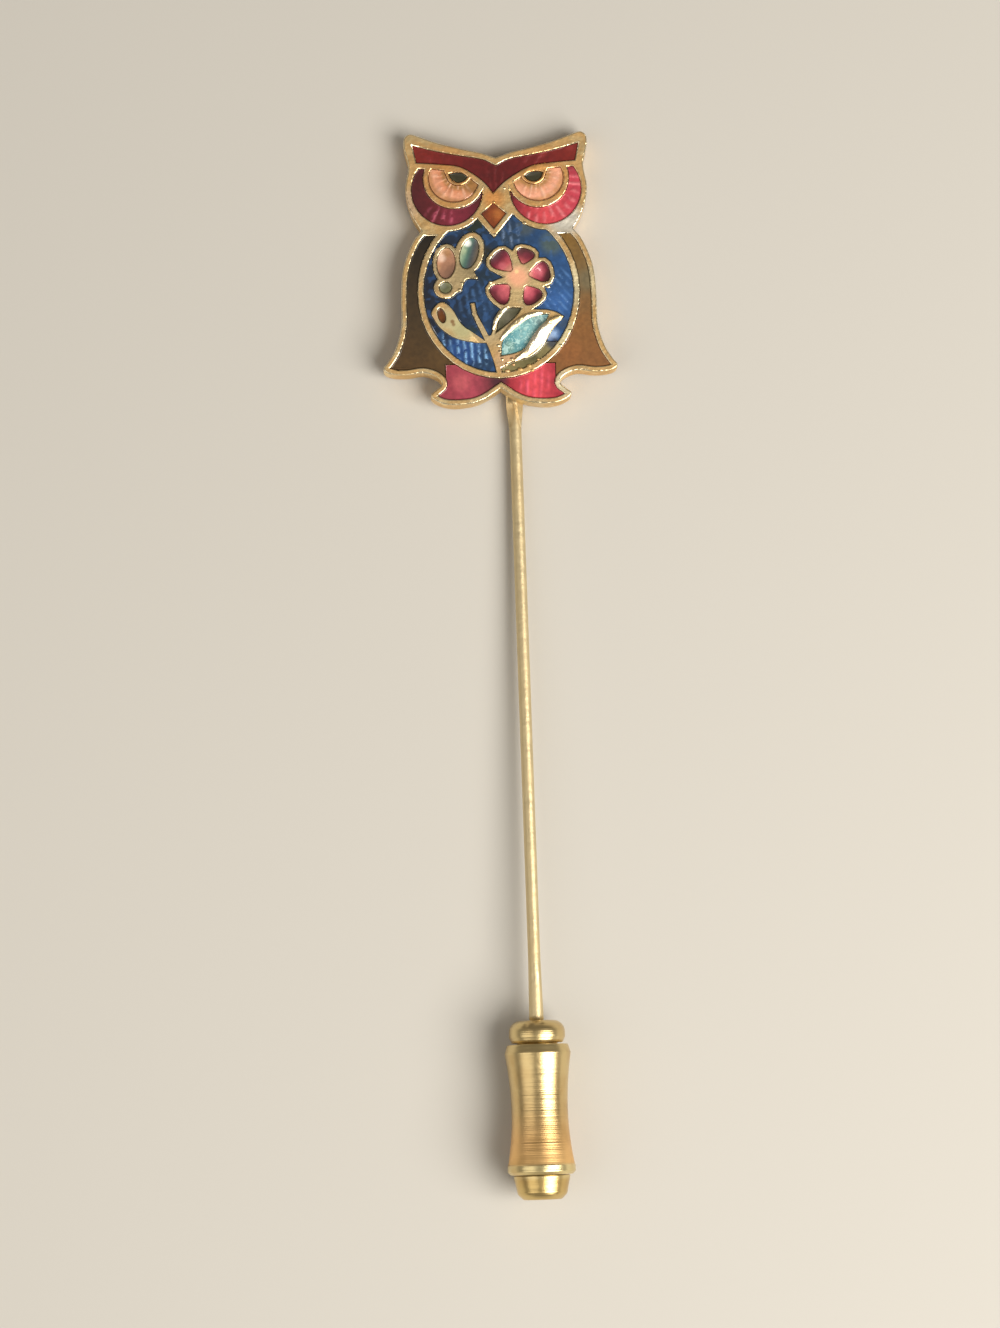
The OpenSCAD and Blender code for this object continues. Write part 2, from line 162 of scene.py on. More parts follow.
def colour(hexCode):
    parts = [int(hexCode[i:i + 2], 16) / 255 for i in (1, 3, 5)]
    linear = [c / 12.92 if c <= 0.04045 else ((c + 0.055) / 1.055) ** 2.4 for c in parts]
    return (*linear, 1.0)


def addNode(tree, kind, sockets=None, out=0, tones=(), **settings):
    # gives back one output of the new node
    node = tree.nodes.new(kind)
    for name, value in settings.items():
        setattr(node, name, value)
    for name, value in (sockets or {}).items():
        if isinstance(value, bpy.types.NodeSocket):
            tree.links.new(value, node.inputs[name])
        else:
            node.inputs[name].default_value = value
    while tones and len(node.color_ramp.elements) < len(tones):
        node.color_ramp.elements.new(0.5)
    for i, (place, hexCode) in enumerate(tones):
        node.color_ramp.elements[i].position = place
        node.color_ramp.elements[i].color = colour(hexCode)
    return node.outputs[out] if node.outputs else None


def newMaterial(name):
    material = bpy.data.materials.new(name)
    material.use_nodes = True
    material.node_tree.nodes.clear()
    return material, material.node_tree


def flatPlace(tree, at=(0, 0), turn=0.0):
    # mm in the owl's flat frame, measured from a centre on its face
    centre = layDown @ Vector((at[0] * mm, at[1] * mm, owl["plate"] * mm))
    objectPlace = addNode(tree, "ShaderNodeTexCoord", out="Object")
    return addNode(tree, "ShaderNodeMapping", {
        "Vector": objectPlace, "Location": centre,
        "Rotation": (-restTilt, 0, math.radians(turn)), "Scale": (mm, mm, mm)},
        vector_type="TEXTURE")


def spot(tree, place, at, radius, strength=1.0):
    # 1 at a place on the face, fading to 0 at the radius
    away = addNode(tree, "ShaderNodeVectorMath", {0: place, 1: (at[0], at[1], 0)}, "Value",
                   operation="DISTANCE")
    return addNode(tree, "ShaderNodeMapRange", {
        "Value": away, "From Min": radius * spotCore, "From Max": radius,
        "To Min": strength, "To Max": 0.0}, interpolation_type="SMOOTHSTEP")


def withPatches(tree, place, base, patches):
    # each patch has its x, y and radius in mm, its tone and its strength
    for x, y, radius, hexCode, strength in patches:
        shown = spot(tree, place, (x, y), radius, strength)
        base = addNode(tree, "ShaderNodeMix", {0: shown, 6: base, 7: colour(hexCode)}, 2,
                       data_type="RGBA")
    return base


gilt = {
    "tones": [(0.32, "#d8b880"), (0.5, "#e8c084"), (0.66, "#fae0aa")],
    "patchMm": 1.6, "waveMm": 0.9, "waveLift": 0.05, "grainMm": 0.2, "grainLift": 0.018,
    "roughness": (0.6, 0.46), "roughSpan": (0.35, 0.65),
    "patches": [
        (-2.7, 9.3, 3.0, "#d0c09a", 0.7),    # greyer round the butterfly
        (1.27, 8.55, 3.2, "#e4d2a2", 0.6),   # and the flower
        (-0.6, 5.4, 2.2, "#decea6", 0.7),    # stem and sprig
        (0.4, 3.0, 1.1, "#f2caa0", 0.8),     # pinker where they meet the leaf
        (-3.2, 15.2, 3.0, "#f0ac62", 0.65),  # warmer round the eyes
        (3.2, 15.2, 3.0, "#f4b064", 0.65),
        (-0.2, 13.9, 1.0, "#f6ac62", 0.7),
        (-2.1, 8.7, 1.0, "#c8b48a", 0.85),   # the butterfly's dull body
        # the next five patches are painted highlights on the lit walls at the right
        (2.7, 4.4, 1.4, "#fff4dc", 0.9),     # a painted highlight on the right border of the large leaf
        (4.5, 12.4, 1.7, "#fff9ea", 1.0),    # a painted highlight on the right cheek
        (5.2, 8.0, 2.0, "#fff0c6", 1.0),     # a painted highlight on the lit side of the ring
        (4.4, 4.4, 1.5, "#fff2c4", 0.9),
        (4.3, 1.3, 1.3, "#fff4d2", 0.9),     # a painted highlight on the right foot
        (-6.0, 13.6, 1.6, "#f2d4b2", 0.7),   # a pinker left cheek
        (0.3, -2.2, 4.4, "#d6c6a0", 1.0),    # the wire is paler, from its solder on
        (0.4, -12, 14, "#e2d0a6", 1.0),
        (0.9, -27, 16, "#e2d0a6", 1.0),
        (1.3, -44, 16, "#e2d0a6", 1.0),
    ],
    "washed": [
        (1.3, 8.55, 1.1, "#f6b08c", 0.9),    # a pink wash in the flower's middle
        (1.22, 8.9, 0.2, "#f8dc9c", 0.8),
        (-3.5, 5.75, 1.1, "#b8ae84", 0.9),   # cream on the bud
        (-2.5, 5.05, 1.1, "#b4b284", 0.85),
        (-4.25, 5.9, 0.35, "#b48c68", 0.6),
        (-3.12, 5.6, 0.2, "#7c5026", 0.8),   # its second, faint brown spot
        (-3.05, 5.4, 0.18, "#7c5026", 0.7),
    ],
}
# Walls are rubbed bright along their rounded edges, and lumpy there as cast
rubbed = {**gilt, "tones": [(0.35, "#ecd09a"), (0.65, "#fff0cc")], "waveMm": 0.42, "waveLift": 0.07,
          "grainLift": 0.025, "roughness": (0.34, 0.22)}


def giltMetal(name, look):
    # Thin gold plating on a cast white-metal owl: satin and pale, a little uneven, greyer in patches, with
    # painted highlights on the lit walls at the right
    material, tree = newMaterial(name)
    place = flatPlace(tree)
    tone = addNode(tree, "ShaderNodeTexNoise", {
        "Vector": place, "Scale": 1 / look["patchMm"], "Detail": 3.0, "Roughness": 0.6})
    base = addNode(tree, "ShaderNodeValToRGB", {"Fac": tone}, tones=look["tones"])
    base = withPatches(tree, place, base, look["patches"] + look["washed"])
    bare = 1.0
    for x, y, radius, hexCode, strength in look["washed"]:
        cover = spot(tree, place, (x, y), radius, strength)
        bare = addNode(tree, "ShaderNodeMath", {0: bare, 1: cover}, operation="SUBTRACT", use_clamp=True)
    rough = addNode(tree, "ShaderNodeMapRange", {
        "Value": tone, "From Min": look["roughSpan"][0], "From Max": look["roughSpan"][1],
        "To Min": look["roughness"][0], "To Max": look["roughness"][1]})
    wave = addNode(tree, "ShaderNodeTexNoise", {
        "Vector": place, "Scale": 1 / look["waveMm"], "Detail": 1.0})
    grain = addNode(tree, "ShaderNodeTexNoise", {
        "Vector": place, "Scale": 1 / look["grainMm"], "Detail": 2.0})
    waveBump = addNode(tree, "ShaderNodeBump", {"Height": wave, "Distance": look["waveLift"] * mm})
    grainBump = addNode(tree, "ShaderNodeBump", {
        "Height": grain, "Distance": look["grainLift"] * mm, "Normal": waveBump})
    shader = addNode(tree, "ShaderNodeBsdfPrincipled", {
        "Base Color": base, "Metallic": bare, "Roughness": rough, "Normal": grainBump})
    addNode(tree, "ShaderNodeOutputMaterial", {"Surface": shader})
    return material


brass = {
    "spanMm": (-40, -55),   # the tones run along the axis, from above the collar to the plug's end
    "tones": [              # and change crisply at the band edges; the lighter, oranger tones low on the flare are a painted sheen
        (0.0, "#dcc690"), (0.25, "#e0c892"), (0.42, "#dcc08a"), (0.56, "#f0c486"), (0.655, "#f8cc8a"),
        (0.668, "#eedda6"), (0.715, "#ead49a"), (0.73, "#dcbe7c"), (1.0, "#e6d096")],
    "cloudMm": 1.8, "cloudTone": "#c09a60", "cloudSpan": (0.45, 0.75), "cloudShare": 0.6,
    "lineMm": 0.09, "lineLift": 0.016, "ringMm": 0.5, "ringLift": 0.03,
    "roughness": 0.3, "dullSpan": (0.42, 0.66), "dullRoughness": 0.48,   # the barrel's flare is duller
}


def turnedBrass():
    # Brass turned on a lathe: fine rings round it spread each highlight along the axis
    material, tree = newMaterial("turned brass")
    place = flatPlace(tree, turn=math.degrees(wireLean))
    along = addNode(tree, "ShaderNodeSeparateXYZ", {"Vector": place}, "Y")
    share = addNode(tree, "ShaderNodeMapRange", {
        "Value": along, "From Min": brass["spanMm"][0], "From Max": brass["spanMm"][1]})
    base = addNode(tree, "ShaderNodeValToRGB", {"Fac": share}, tones=brass["tones"])
    cloud = addNode(tree, "ShaderNodeTexNoise", {"Vector": place, "Scale": 1 / brass["cloudMm"]})
    cloudy = addNode(tree, "ShaderNodeMapRange", {
        "Value": cloud, "From Min": brass["cloudSpan"][0], "From Max": brass["cloudSpan"][1],
        "To Max": brass["cloudShare"]})
    base = addNode(tree, "ShaderNodeMix", {0: cloudy, 6: base, 7: colour(brass["cloudTone"])}, 2,
                   data_type="RGBA")
    lines = addNode(tree, "ShaderNodeTexNoise", {
        "W": along, "Scale": 1 / brass["lineMm"], "Detail": 2.0}, noise_dimensions="1D")
    rings = addNode(tree, "ShaderNodeTexNoise", {
        "W": along, "Scale": 1 / brass["ringMm"], "Detail": 1.0}, noise_dimensions="1D")
    ringBump = addNode(tree, "ShaderNodeBump", {"Height": rings, "Distance": brass["ringLift"] * mm})
    lineBump = addNode(tree, "ShaderNodeBump", {
        "Height": lines, "Distance": brass["lineLift"] * mm, "Normal": ringBump})
    dulling = addNode(tree, "ShaderNodeMapRange", {
        "Value": share, "From Min": brass["dullSpan"][0], "From Max": brass["dullSpan"][1],
        "To Min": brass["roughness"], "To Max": brass["dullRoughness"]})
    past = addNode(tree, "ShaderNodeMath", {0: share, 1: brass["dullSpan"][1]},
                   operation="GREATER_THAN")
    rough = addNode(tree, "ShaderNodeMix", {0: past, 2: dulling, 3: brass["roughness"]})
    shader = addNode(tree, "ShaderNodeBsdfPrincipled", {
        "Base Color": base, "Metallic": 1.0, "Roughness": rough, "Normal": lineBump})
    addNode(tree, "ShaderNodeOutputMaterial", {"Surface": shader})
    return material


# What all the enamel shares: its gloss, the slow ripple of its surface, its mottle, glints and ribs
glaze = {
    "metallic": 0.12, "roughness": 0.38, "coatRoughness": 0.06, "rippleMm": 1.5, "rippleLift": 0.03,
    "mottleMm": 0.28, "mottleSpan": (0.3, 0.7), "mottle": 0.16, "glintFade": 0.12,
    "ribLift": 0.06, "ribShakeMm": 0.5, "ribSpan": (0.38, 0.56),
}
# What a cell and its ribs have where their own dictionary says nothing
plainCell = {
    "turn": 0, "swing": 0.25, "cloudMm": 0.8, "patches": (), "ribs": (), "glints": (), "dished": False,
}
plainRibs = {"turn": 0, "shake": 1.5, "sharp": 2.0, "breakMm": 0.7}


def ribWave(tree, look, place):
    # ribs cast in the floor of a cell: a fan round a centre, or a row at a pitch in mm
    own = flatPlace(tree, look["at"], look["turn"])
    across = addNode(tree, "ShaderNodeSeparateXYZ", {"Vector": own}, "X")
    if "fan" in look:
        upward = addNode(tree, "ShaderNodeSeparateXYZ", {"Vector": own}, "Y")
        angle = addNode(tree, "ShaderNodeMath", {0: upward, 1: across}, operation="ARCTAN2")
        phase = addNode(tree, "ShaderNodeMath", {0: angle, 1: float(look["fan"])}, operation="MULTIPLY")
    else:
        phase = addNode(tree, "ShaderNodeMath", {0: across, 1: 2 * math.pi / look["pitch"]},
                        operation="MULTIPLY")
    shake = addNode(tree, "ShaderNodeTexNoise", {
        "Vector": place, "Scale": 1 / glaze["ribShakeMm"], "Detail": 2.0})
    shaken = addNode(tree, "ShaderNodeMath", {0: shake, 1: look["shake"], 2: phase},
                     operation="MULTIPLY_ADD")
    wave = addNode(tree, "ShaderNodeMath", {0: shaken}, operation="SINE")
    height = addNode(tree, "ShaderNodeMath", {0: wave, 1: 0.5, 2: 0.5}, operation="MULTIPLY_ADD")
    return addNode(tree, "ShaderNodeMath", {0: height, 1: look["sharp"]}, operation="POWER")


def shownRibs(tree, look, place):
    # the ribs show through only here and there, and only in their spots: x, y and radius in mm
    wave = ribWave(tree, look, place)
    breaks = addNode(tree, "ShaderNodeTexNoise", {
        "Vector": place, "Scale": 1 / look["breakMm"], "Detail": 2.0})
    kept = addNode(tree, "ShaderNodeMapRange", {
        "Value": breaks, "From Min": glaze["ribSpan"][0], "From Max": glaze["ribSpan"][1]})
    shown = addNode(tree, "ShaderNodeMath", {0: wave, 1: kept}, operation="MULTIPLY")
    area = 0.0
    for x, y, radius in look["spots"]:
        area = addNode(tree, "ShaderNodeMath", {0: area, 1: spot(tree, place, (x, y), radius)},
                       operation="MAXIMUM")
    return addNode(tree, "ShaderNodeMath", {0: shown, 1: area}, operation="MULTIPLY")


def cellTones(tree, look, place):
    # the cell's tones run out from its centre, or along a line through it, with a cloudy edge
    own = flatPlace(tree, look["centre"], look["turn"])
    if "along" in look:
        low, high = look["along"]
        reach = addNode(tree, "ShaderNodeSeparateXYZ", {"Vector": own}, "X")
    else:
        low, high = look["out"]
        reach = addNode(tree, "ShaderNodeVectorMath", {0: own}, "Value", operation="LENGTH")
    swing = look["swing"] * (high - low)
    cloud = addNode(tree, "ShaderNodeTexNoise", {
        "Vector": place, "Scale": 1 / look["cloudMm"], "Detail": 2.0})
    reach = addNode(tree, "ShaderNodeMath", {0: cloud, 1: swing, 2: reach}, operation="MULTIPLY_ADD")
    share = addNode(tree, "ShaderNodeMapRange", {
        "Value": reach, "From Min": low + swing / 2, "From Max": high + swing / 2})
    base = addNode(tree, "ShaderNodeValToRGB", {"Fac": share}, tones=look["tones"])
    return withPatches(tree, place, base, look["patches"])


def withRibs(tree, look, place, base):
    # gives back the tone and the bump, which is none where the cell has no ribs
    lift = None
    for own in look["ribs"]:
        ribs = {**plainRibs, **own}
        shown = shownRibs(tree, ribs, place)
        amount = addNode(tree, "ShaderNodeMath", {0: shown, 1: ribs["share"]}, operation="MULTIPLY")
        base = addNode(tree, "ShaderNodeMix", {0: amount, 6: base, 7: colour(ribs["tone"])}, 2,
                       data_type="RGBA")
        sockets = {"Height": shown, "Distance": ribs["share"] * glaze["ribLift"] * mm}
        if lift:
            sockets["Normal"] = lift
        lift = addNode(tree, "ShaderNodeBump", sockets)
    return base, lift


def withGlints(tree, look, place, base):
    for glints in look["glints"]:
        field = addNode(tree, "ShaderNodeTexNoise", {
            "Vector": place, "Scale": 1 / glints["size"], "Detail": 1.0, "Distortion": glints["twist"]})
        shown = addNode(tree, "ShaderNodeMapRange", {
            "Value": field, "From Min": glints["from"], "From Max": glints["from"] + glaze["glintFade"],
            "To Max": glints["share"]}, interpolation_type="SMOOTHSTEP")
        base = addNode(tree, "ShaderNodeMix", {0: shown, 6: base, 7: colour(glints["tone"])}, 2,
                       data_type="RGBA")
    return base


def mottled(tree, place, base):
    mottle = addNode(tree, "ShaderNodeTexNoise", {
        "Vector": place, "Scale": 1 / glaze["mottleMm"], "Detail": 3.0})
    shade = addNode(tree, "ShaderNodeMapRange", {
        "Value": mottle, "From Min": glaze["mottleSpan"][0], "From Max": glaze["mottleSpan"][1],
        "To Min": 1 - glaze["mottle"], "To Max": 1 + glaze["mottle"]})
    grey = addNode(tree, "ShaderNodeCombineColor", {0: shade, 1: shade, 2: shade})
    return addNode(tree, "ShaderNodeMix", {0: 1.0, 6: base, 7: grey}, 2,
                   data_type="RGBA", blend_type="MULTIPLY")


def enamelMaterial(name, look):
    # Translucent enamel filling a cast cell: deep, mottled colour over ribbed metal, wet gloss on top
    material, tree = newMaterial(name)
    place = flatPlace(tree)
    base, lift = withRibs(tree, look, place, cellTones(tree, look, place))
    base = mottled(tree, place, withGlints(tree, look, place, base))
    swell = addNode(tree, "ShaderNodeTexNoise", {
        "Vector": place, "Scale": 1 / glaze["rippleMm"], "Detail": 1.0})
    ripple = addNode(tree, "ShaderNodeBump", {"Height": swell, "Distance": glaze["rippleLift"] * mm})
    sockets = {
        "Base Color": base, "Metallic": glaze["metallic"], "Roughness": glaze["roughness"],
        "Coat Weight": 1.0, "Coat Roughness": glaze["coatRoughness"], "Coat Normal": ripple}
    if lift:
        sockets["Normal"] = lift
    shader = addNode(tree, "ShaderNodeBsdfPrincipled", sockets)
    addNode(tree, "ShaderNodeOutputMaterial", {"Surface": shader})
    return material


# The casting

casting = {
    "wallRound": 0.085, "backRound": 0.14, "segments": 3, "sharp": 60, "slack": 0.01, "smooth": 40,
    "fork": Vector((-0.85, 4.05)), "forkReach": 0.75,   # too narrow to round: bud, stem and leaf meet
}


def makeCasting():
    piece = flatCopy("owl_and_wire", "gilt_casting")
    piece.data.materials.append(giltFinish)
    piece.data.materials.append(rubbedFinish)
    top = owl["plate"] - casting["slack"]

    def wallTop(ends, bend):
        narrow = any((p.to_2d() - casting["fork"]).length < casting["forkReach"] for p in ends)
        return bend > casting["sharp"] and not narrow and all(p.z > top for p in ends)

    def backRim(ends, bend):
        onBack = all(abs(p.z) < casting["slack"] and p.y > 0 for p in ends)
        return bend > casting["sharp"] and onBack

    for wanted, width, finish in ((wallTop, casting["wallRound"], 1), (backRim, casting["backRound"], 0)):
        pickEdges(piece, wanted)
        editPicked(piece, "EDGE", (bpy.ops.mesh.bevel, {
            "offset": width * mm, "segments": casting["segments"], "profile": 0.5,
            "clamp_overlap": False, "miter_outer": "ARC", "material": finish}))
    print("casting has", len(piece.data.polygons), "faces")
    finishPiece(piece, "pin", giltFinish, casting["smooth"], ["owl_and_wire"], level=True)


giltFinish = giltMetal("satin gilt casting", gilt)
rubbedFinish = giltMetal("rubbed gilt edges", rubbed)
makeCasting()


# Enamel cells: places in mm on the owl's face, the feet at y 0

# The glaze climbs its walls: the width and depth of the hollow that this leaves
meniscus = {"width": 0.07, "depth": 0.03, "level": 0.99, "slack": 0.01, "smooth": 60}


def makeEnamel(nodeName, own):
    look = {**plainCell, **own}
    piece = flatCopy(nodeName, nodeName + "_enamel")
    top = max(point.co.z for point in piece.data.vertices) / mm - meniscus["slack"]
    pickFaces(piece, lambda middle, normal: normal.z > meniscus["level"] and middle.z > top)
    editPicked(piece, "FACE", (bpy.ops.mesh.inset, {
        "thickness": meniscus["width"] * mm, "depth": -meniscus["depth"] * mm,
        "use_even_offset": False}))
    material = enamelMaterial(nodeName.replace("_", " ") + " enamel", look)
    finishPiece(piece, "pin", material, meniscus["smooth"], [nodeName],
                level=not look["dished"])


leftEye = (-2.813, 15.294)
rightEye = (2.813, 15.294)

brow = {
    "slot": "enamel_maroon", "centre": (0, 15.5), "out": (0, 6), "swing": 0.3,
    "tones": [(0.0, "#5a0e10"), (0.4, "#6c1416"), (1.0, "#84241a")],
    "patches": [(3.1, 17.0, 0.5, "#96302e", 0.6), (5.0, 17.4, 0.5, "#923230", 0.6)],
    "ribs": [{"fan": 40, "at": (0, 12.5), "tone": "#8c2c30", "share": 0.4, "sharp": 1.4, "breakMm": 0.6,
              "spots": [(-4.0, 17.1, 1.6), (2.6, 16.9, 1.8), (-0.2, 15.4, 1.1)]}],
}
makeEnamel("brow", brow)

surroundLeft = {
    "slot": "enamel_magenta", "centre": leftEye, "along": (-2.6, 2.4), "swing": 0.15,
    "tones": [(0.0, "#50161c"), (0.25, "#641a22"), (0.5, "#82263a"), (0.75, "#6e1e2e"), (1.0, "#461616")],
    "patches": [(-5.3, 15.2, 1.1, "#50181a", 0.8), (-1.3, 14.0, 0.8, "#4e1a14", 0.8)],
    "ribs": [{"fan": 30, "at": leftEye, "tone": "#d4607c", "share": 0.6, "breakMm": 0.5,
              "spots": [(-4.1, 12.8, 0.9), (-3.3, 12.7, 0.7)]}],
}
makeEnamel("eye_surround_left", surroundLeft)

surroundRight = {
    "slot": "enamel_magenta", "centre": rightEye, "along": (-2.4, 2.4), "swing": 0.15,
    "tones": [(0.0, "#561a1e"), (0.3, "#b03440"), (0.6, "#e25058"), (1.0, "#c84254")],
    "patches": [(0.8, 14.1, 0.7, "#4e1818", 0.8), (5.0, 16.2, 0.9, "#8a2836", 0.8)],
    "ribs": [{"fan": 30, "at": rightEye, "tone": "#f88c94", "share": 0.7,
              "spots": [(4.2, 13.4, 1.9), (2.6, 12.8, 1.2), (5.1, 14.9, 1.1)]}],
}
makeEnamel("eye_surround_right", surroundRight)

irisLeft = {
    "slot": "enamel_salmon", "centre": (-2.5, 15.7), "out": (0.4, 1.9), "swing": 0.12,
    "tones": [(0.0, "#a8783e"), (0.44, "#b07c48"), (0.58, "#dc9068"), (0.85, "#eaa480"), (1.0, "#c68c60")],
    "patches": [(-1.55, 14.85, 1.0, "#9a7038", 0.85)],
    "ribs": [{"fan": 20, "at": (-2.6, 15.6), "tone": "#fac8aa", "share": 0.5, "sharp": 1.5, "breakMm": 0.4,
              "spots": [(-3.3, 14.7, 1.0), (-2.4, 14.4, 0.9), (-3.9, 15.6, 0.6)]}],
}
makeEnamel("iris_left", irisLeft)

irisRight = {
    "slot": "enamel_salmon", "centre": (2.5, 15.7), "out": (0.4, 1.9), "swing": 0.12,
    "tones": [(0.0, "#b08044"), (0.4, "#c08c54"), (0.54, "#eaa47c"), (0.85, "#fcb494"), (1.0, "#dc9c6e")],
    "patches": [(1.3, 15.2, 0.7, "#c08c50", 0.7)],
    "ribs": [{"fan": 20, "at": (2.6, 15.6), "tone": "#fcd4b8", "share": 0.45, "sharp": 1.5, "breakMm": 0.4,
              "spots": [(3.2, 14.6, 1.1), (2.2, 14.4, 0.8), (3.9, 15.6, 0.7)]}],
}
makeEnamel("iris_right", irisRight)

pupil = {"slot": "enamel_olive", "out": (0, 0.8), "tones": [(0.0, "#26241a"), (1.0, "#45422a")]}
pupilCentres = {"pupil_left": (-2.6, 15.8), "pupil_right": (2.5, 15.8)}
for nodeName, centre in pupilCentres.items():
    makeEnamel(nodeName, {**pupil, "centre": centre})

beak = {
    "slot": "enamel_amber", "centre": (0.0, 12.75), "out": (0.1, 1.0),
    "tones": [(0.0, "#a85c28"), (0.5, "#8a421a"), (1.0, "#662a12")],
    "patches": [(0.15, 12.9, 0.5, "#b86e34", 0.7)],
}
makeEnamel("beak", beak)
print("head enamel")

bellyBlue = {
    "slot": "enamel_blue", "centre": (0, 7.6), "turn": -10, "along": (-5, 5), "swing": 0.35, "cloudMm": 1.3,
    "tones": [(0.0, "#161a28"), (0.3, "#18304c"), (0.6, "#204268"), (1.0, "#2c5890")],
    "patches": [
        (-1.5, 12.1, 1.1, "#232c1c", 0.9), (-0.8, 10.1, 0.9, "#2c2a1a", 0.9),
        (-0.85, 8.6, 0.8, "#1c2f3c", 0.8), (-4.8, 8.2, 1.4, "#161e30", 0.9),
        (-4.5, 9.4, 1.2, "#1e2a3c", 0.8), (-1.9, 4.9, 0.6, "#26362c", 0.8),
        (-2.9, 12.0, 0.7, "#24507c", 0.8), (3.6, 10.8, 1.1, "#58685c", 0.75),
        (-2.4, 3.7, 1.6, "#24529a", 0.7), (3.9, 6.9, 1.2, "#3a6cb4", 0.7),
        # the dark grey-blue patch at x 3.6, y 4.1 is painted shade along the gap to the olive sliver under
        # the large leaf
        (3.5, 4.7, 0.6, "#a2c2ee", 0.95), (3.6, 4.1, 0.45, "#3c4458", 0.9),
        (4.25, 5.4, 0.7, "#3e5068", 0.8), (3.3, 4.45, 0.35, "#a8bad8", 0.8),
        (0.85, 11.4, 1.2, "#2c4054", 0.7), (1.9, 11.9, 0.8, "#5c6458", 0.5),
    ],
    "ribs": [{"pitch": 0.45, "at": (-2.4, 3.65), "turn": 4, "tone": "#8cc2f6", "share": 0.95, "sharp": 1.8,
              "shake": 1.2, "breakMm": 0.36,
              "spots": [(-2.2, 3.6, 1.5), (-3.7, 4.3, 0.7), (-1.2, 3.2, 0.8)]},
             {"pitch": 0.5, "at": (0.85, 11.5), "turn": 4, "tone": "#7c98c0", "share": 0.6, "sharp": 2.0,
              "shake": 2.5, "breakMm": 0.35, "spots": [(0.85, 11.5, 1.1)]},
             {"pitch": 0.4, "at": (3.9, 6.9), "turn": 40, "tone": "#6a9cdc", "share": 0.55, "sharp": 2.0,
              "breakMm": 0.45, "spots": [(3.9, 6.9, 1.3), (4.2, 8.4, 0.9)]},
             {"pitch": 0.5, "at": (-1.6, 6.8), "turn": 10, "tone": "#4c78b0", "share": 0.5, "sharp": 1.5,
              "shake": 2.5, "breakMm": 0.5, "spots": [(-1.6, 7.0, 1.7), (0.0, 6.6, 0.8)]}],
    "glints": [{"size": 0.6, "from": 0.5, "share": 0.4, "tone": "#34629e", "twist": 0.3}],
}
makeEnamel("belly_blue", bellyBlue)

flower = {"centre": (1.27, 8.6), "slot": "enamel_crimson", "out": (0.7, 2.15), "dished": True,
          "tones": [(0.0, "#f2a890"), (0.3, "#cc5c64"), (0.62, "#902840"), (1.0, "#501620")]}
petalShades = {
    "petal_1": [(-0.4, 10.3, 1.3, "#501c28", 0.9), (0.3, 9.3, 0.4, "#d8707c", 0.6)],
    "petal_2": [(1.9, 10.6, 1.2, "#4c2024", 0.9), (1.9, 10.0, 0.35, "#8c3448", 0.6)],
    "petal_3": [(3.4, 8.5, 0.7, "#4a2024", 0.8), (2.7, 8.9, 0.6, "#d46070", 0.7)],
    "petal_4": [(2.8, 7.1, 0.6, "#4c2024", 0.8), (2.0, 7.4, 0.6, "#d26070", 0.7)],
    "petal_5": [(-0.3, 7.2, 0.6, "#702834", 0.7), (0.4, 7.5, 0.7, "#dc6c78", 0.7)],
}
for nodeName, patches in petalShades.items():
    makeEnamel(nodeName, {**flower, "patches": patches})

butterflyUpper = {
    "slot": "enamel_teal", "dished": True, "centre": (-1.92, 10.2), "turn": -17, "along": (-0.6, 0.6),
    "swing": 0.15,
    "tones": [(0.0, "#b0b894"), (0.22, "#88a488"), (0.42, "#54786c"), (0.66, "#565e62"), (1.0, "#746450")],
    # the white spot near the top is a painted highlight, and the pale streak beside it painted sheen
    "patches": [(-1.99, 10.91, 0.36, "#fcfff8", 1.0), (-2.3, 10.4, 0.35, "#b8c8a0", 0.6)],
}
makeEnamel("butterfly_upper", butterflyUpper)

butterflySide = {
    "slot": "enamel_shell_pink", "dished": True, "centre": (-3.45, 9.57), "turn": -60, "along": (-0.9, 0.9),
    "tones": [(0.0, "#cca27a"), (0.4, "#bc886a"), (1.0, "#806050")],
    # its first patch, the pale pink spot at the upper left, is a painted highlight
    "patches": [(-3.73, 9.95, 0.42, "#f8d4bc", 0.9), (-3.35, 10.25, 0.4, "#a8784c", 0.7),
                (-4.0, 9.3, 0.3, "#c09668", 0.7)],
}
makeEnamel("butterfly_side", butterflySide)

butterflyLower = {
    "slot": "enamel_grey_green", "dished": True, "centre": (-3.52, 7.94), "out": (0, 0.45),
    "tones": [(0.0, "#565840"), (1.0, "#82845e")],
    "patches": [(-3.72, 8.05, 0.36, "#848878", 0.6)],
}
makeEnamel("butterfly_lower", butterflyLower)

budSpot = {"slot": "enamel_rust", "centre": (-3.85, 6.0), "out": (0, 0.6),
           "tones": [(0.0, "#74400f"), (1.0, "#4c280a")]}
makeEnamel("bud_spot", budSpot)

leafSmall = {"slot": "enamel_olive", "centre": (0.6, 5.7), "out": (0, 1.0),
             "tones": [(0.0, "#74705e"), (0.5, "#5c5a44"), (1.0, "#403e24")]}
makeEnamel("leaf_small", leafSmall)

leafLarge = {
    "slot": "enamel_aqua", "centre": (1.6, 4.7), "turn": 45, "along": (-1.9, 1.9), "swing": 0.5,
    "cloudMm": 0.5,
    "tones": [(0.0, "#74a6a4"), (0.35, "#66a8b2"), (0.6, "#92ccd0"), (1.0, "#78aeb8")],
    "patches": [(2.6, 5.7, 0.6, "#9ab4b4", 0.7), (0.6, 3.9, 0.5, "#8cb4a8", 0.7),
                (1.5, 4.5, 0.7, "#9ad2d6", 0.6)],
    "glints": [{"size": 0.34, "from": 0.5, "share": 0.8, "tone": "#c8f2ee", "twist": 1.5},
               {"size": 0.5, "from": 0.56, "share": 0.6, "tone": "#4f8a98", "twist": 0.8}],
}
makeEnamel("leaf_large", leafLarge)

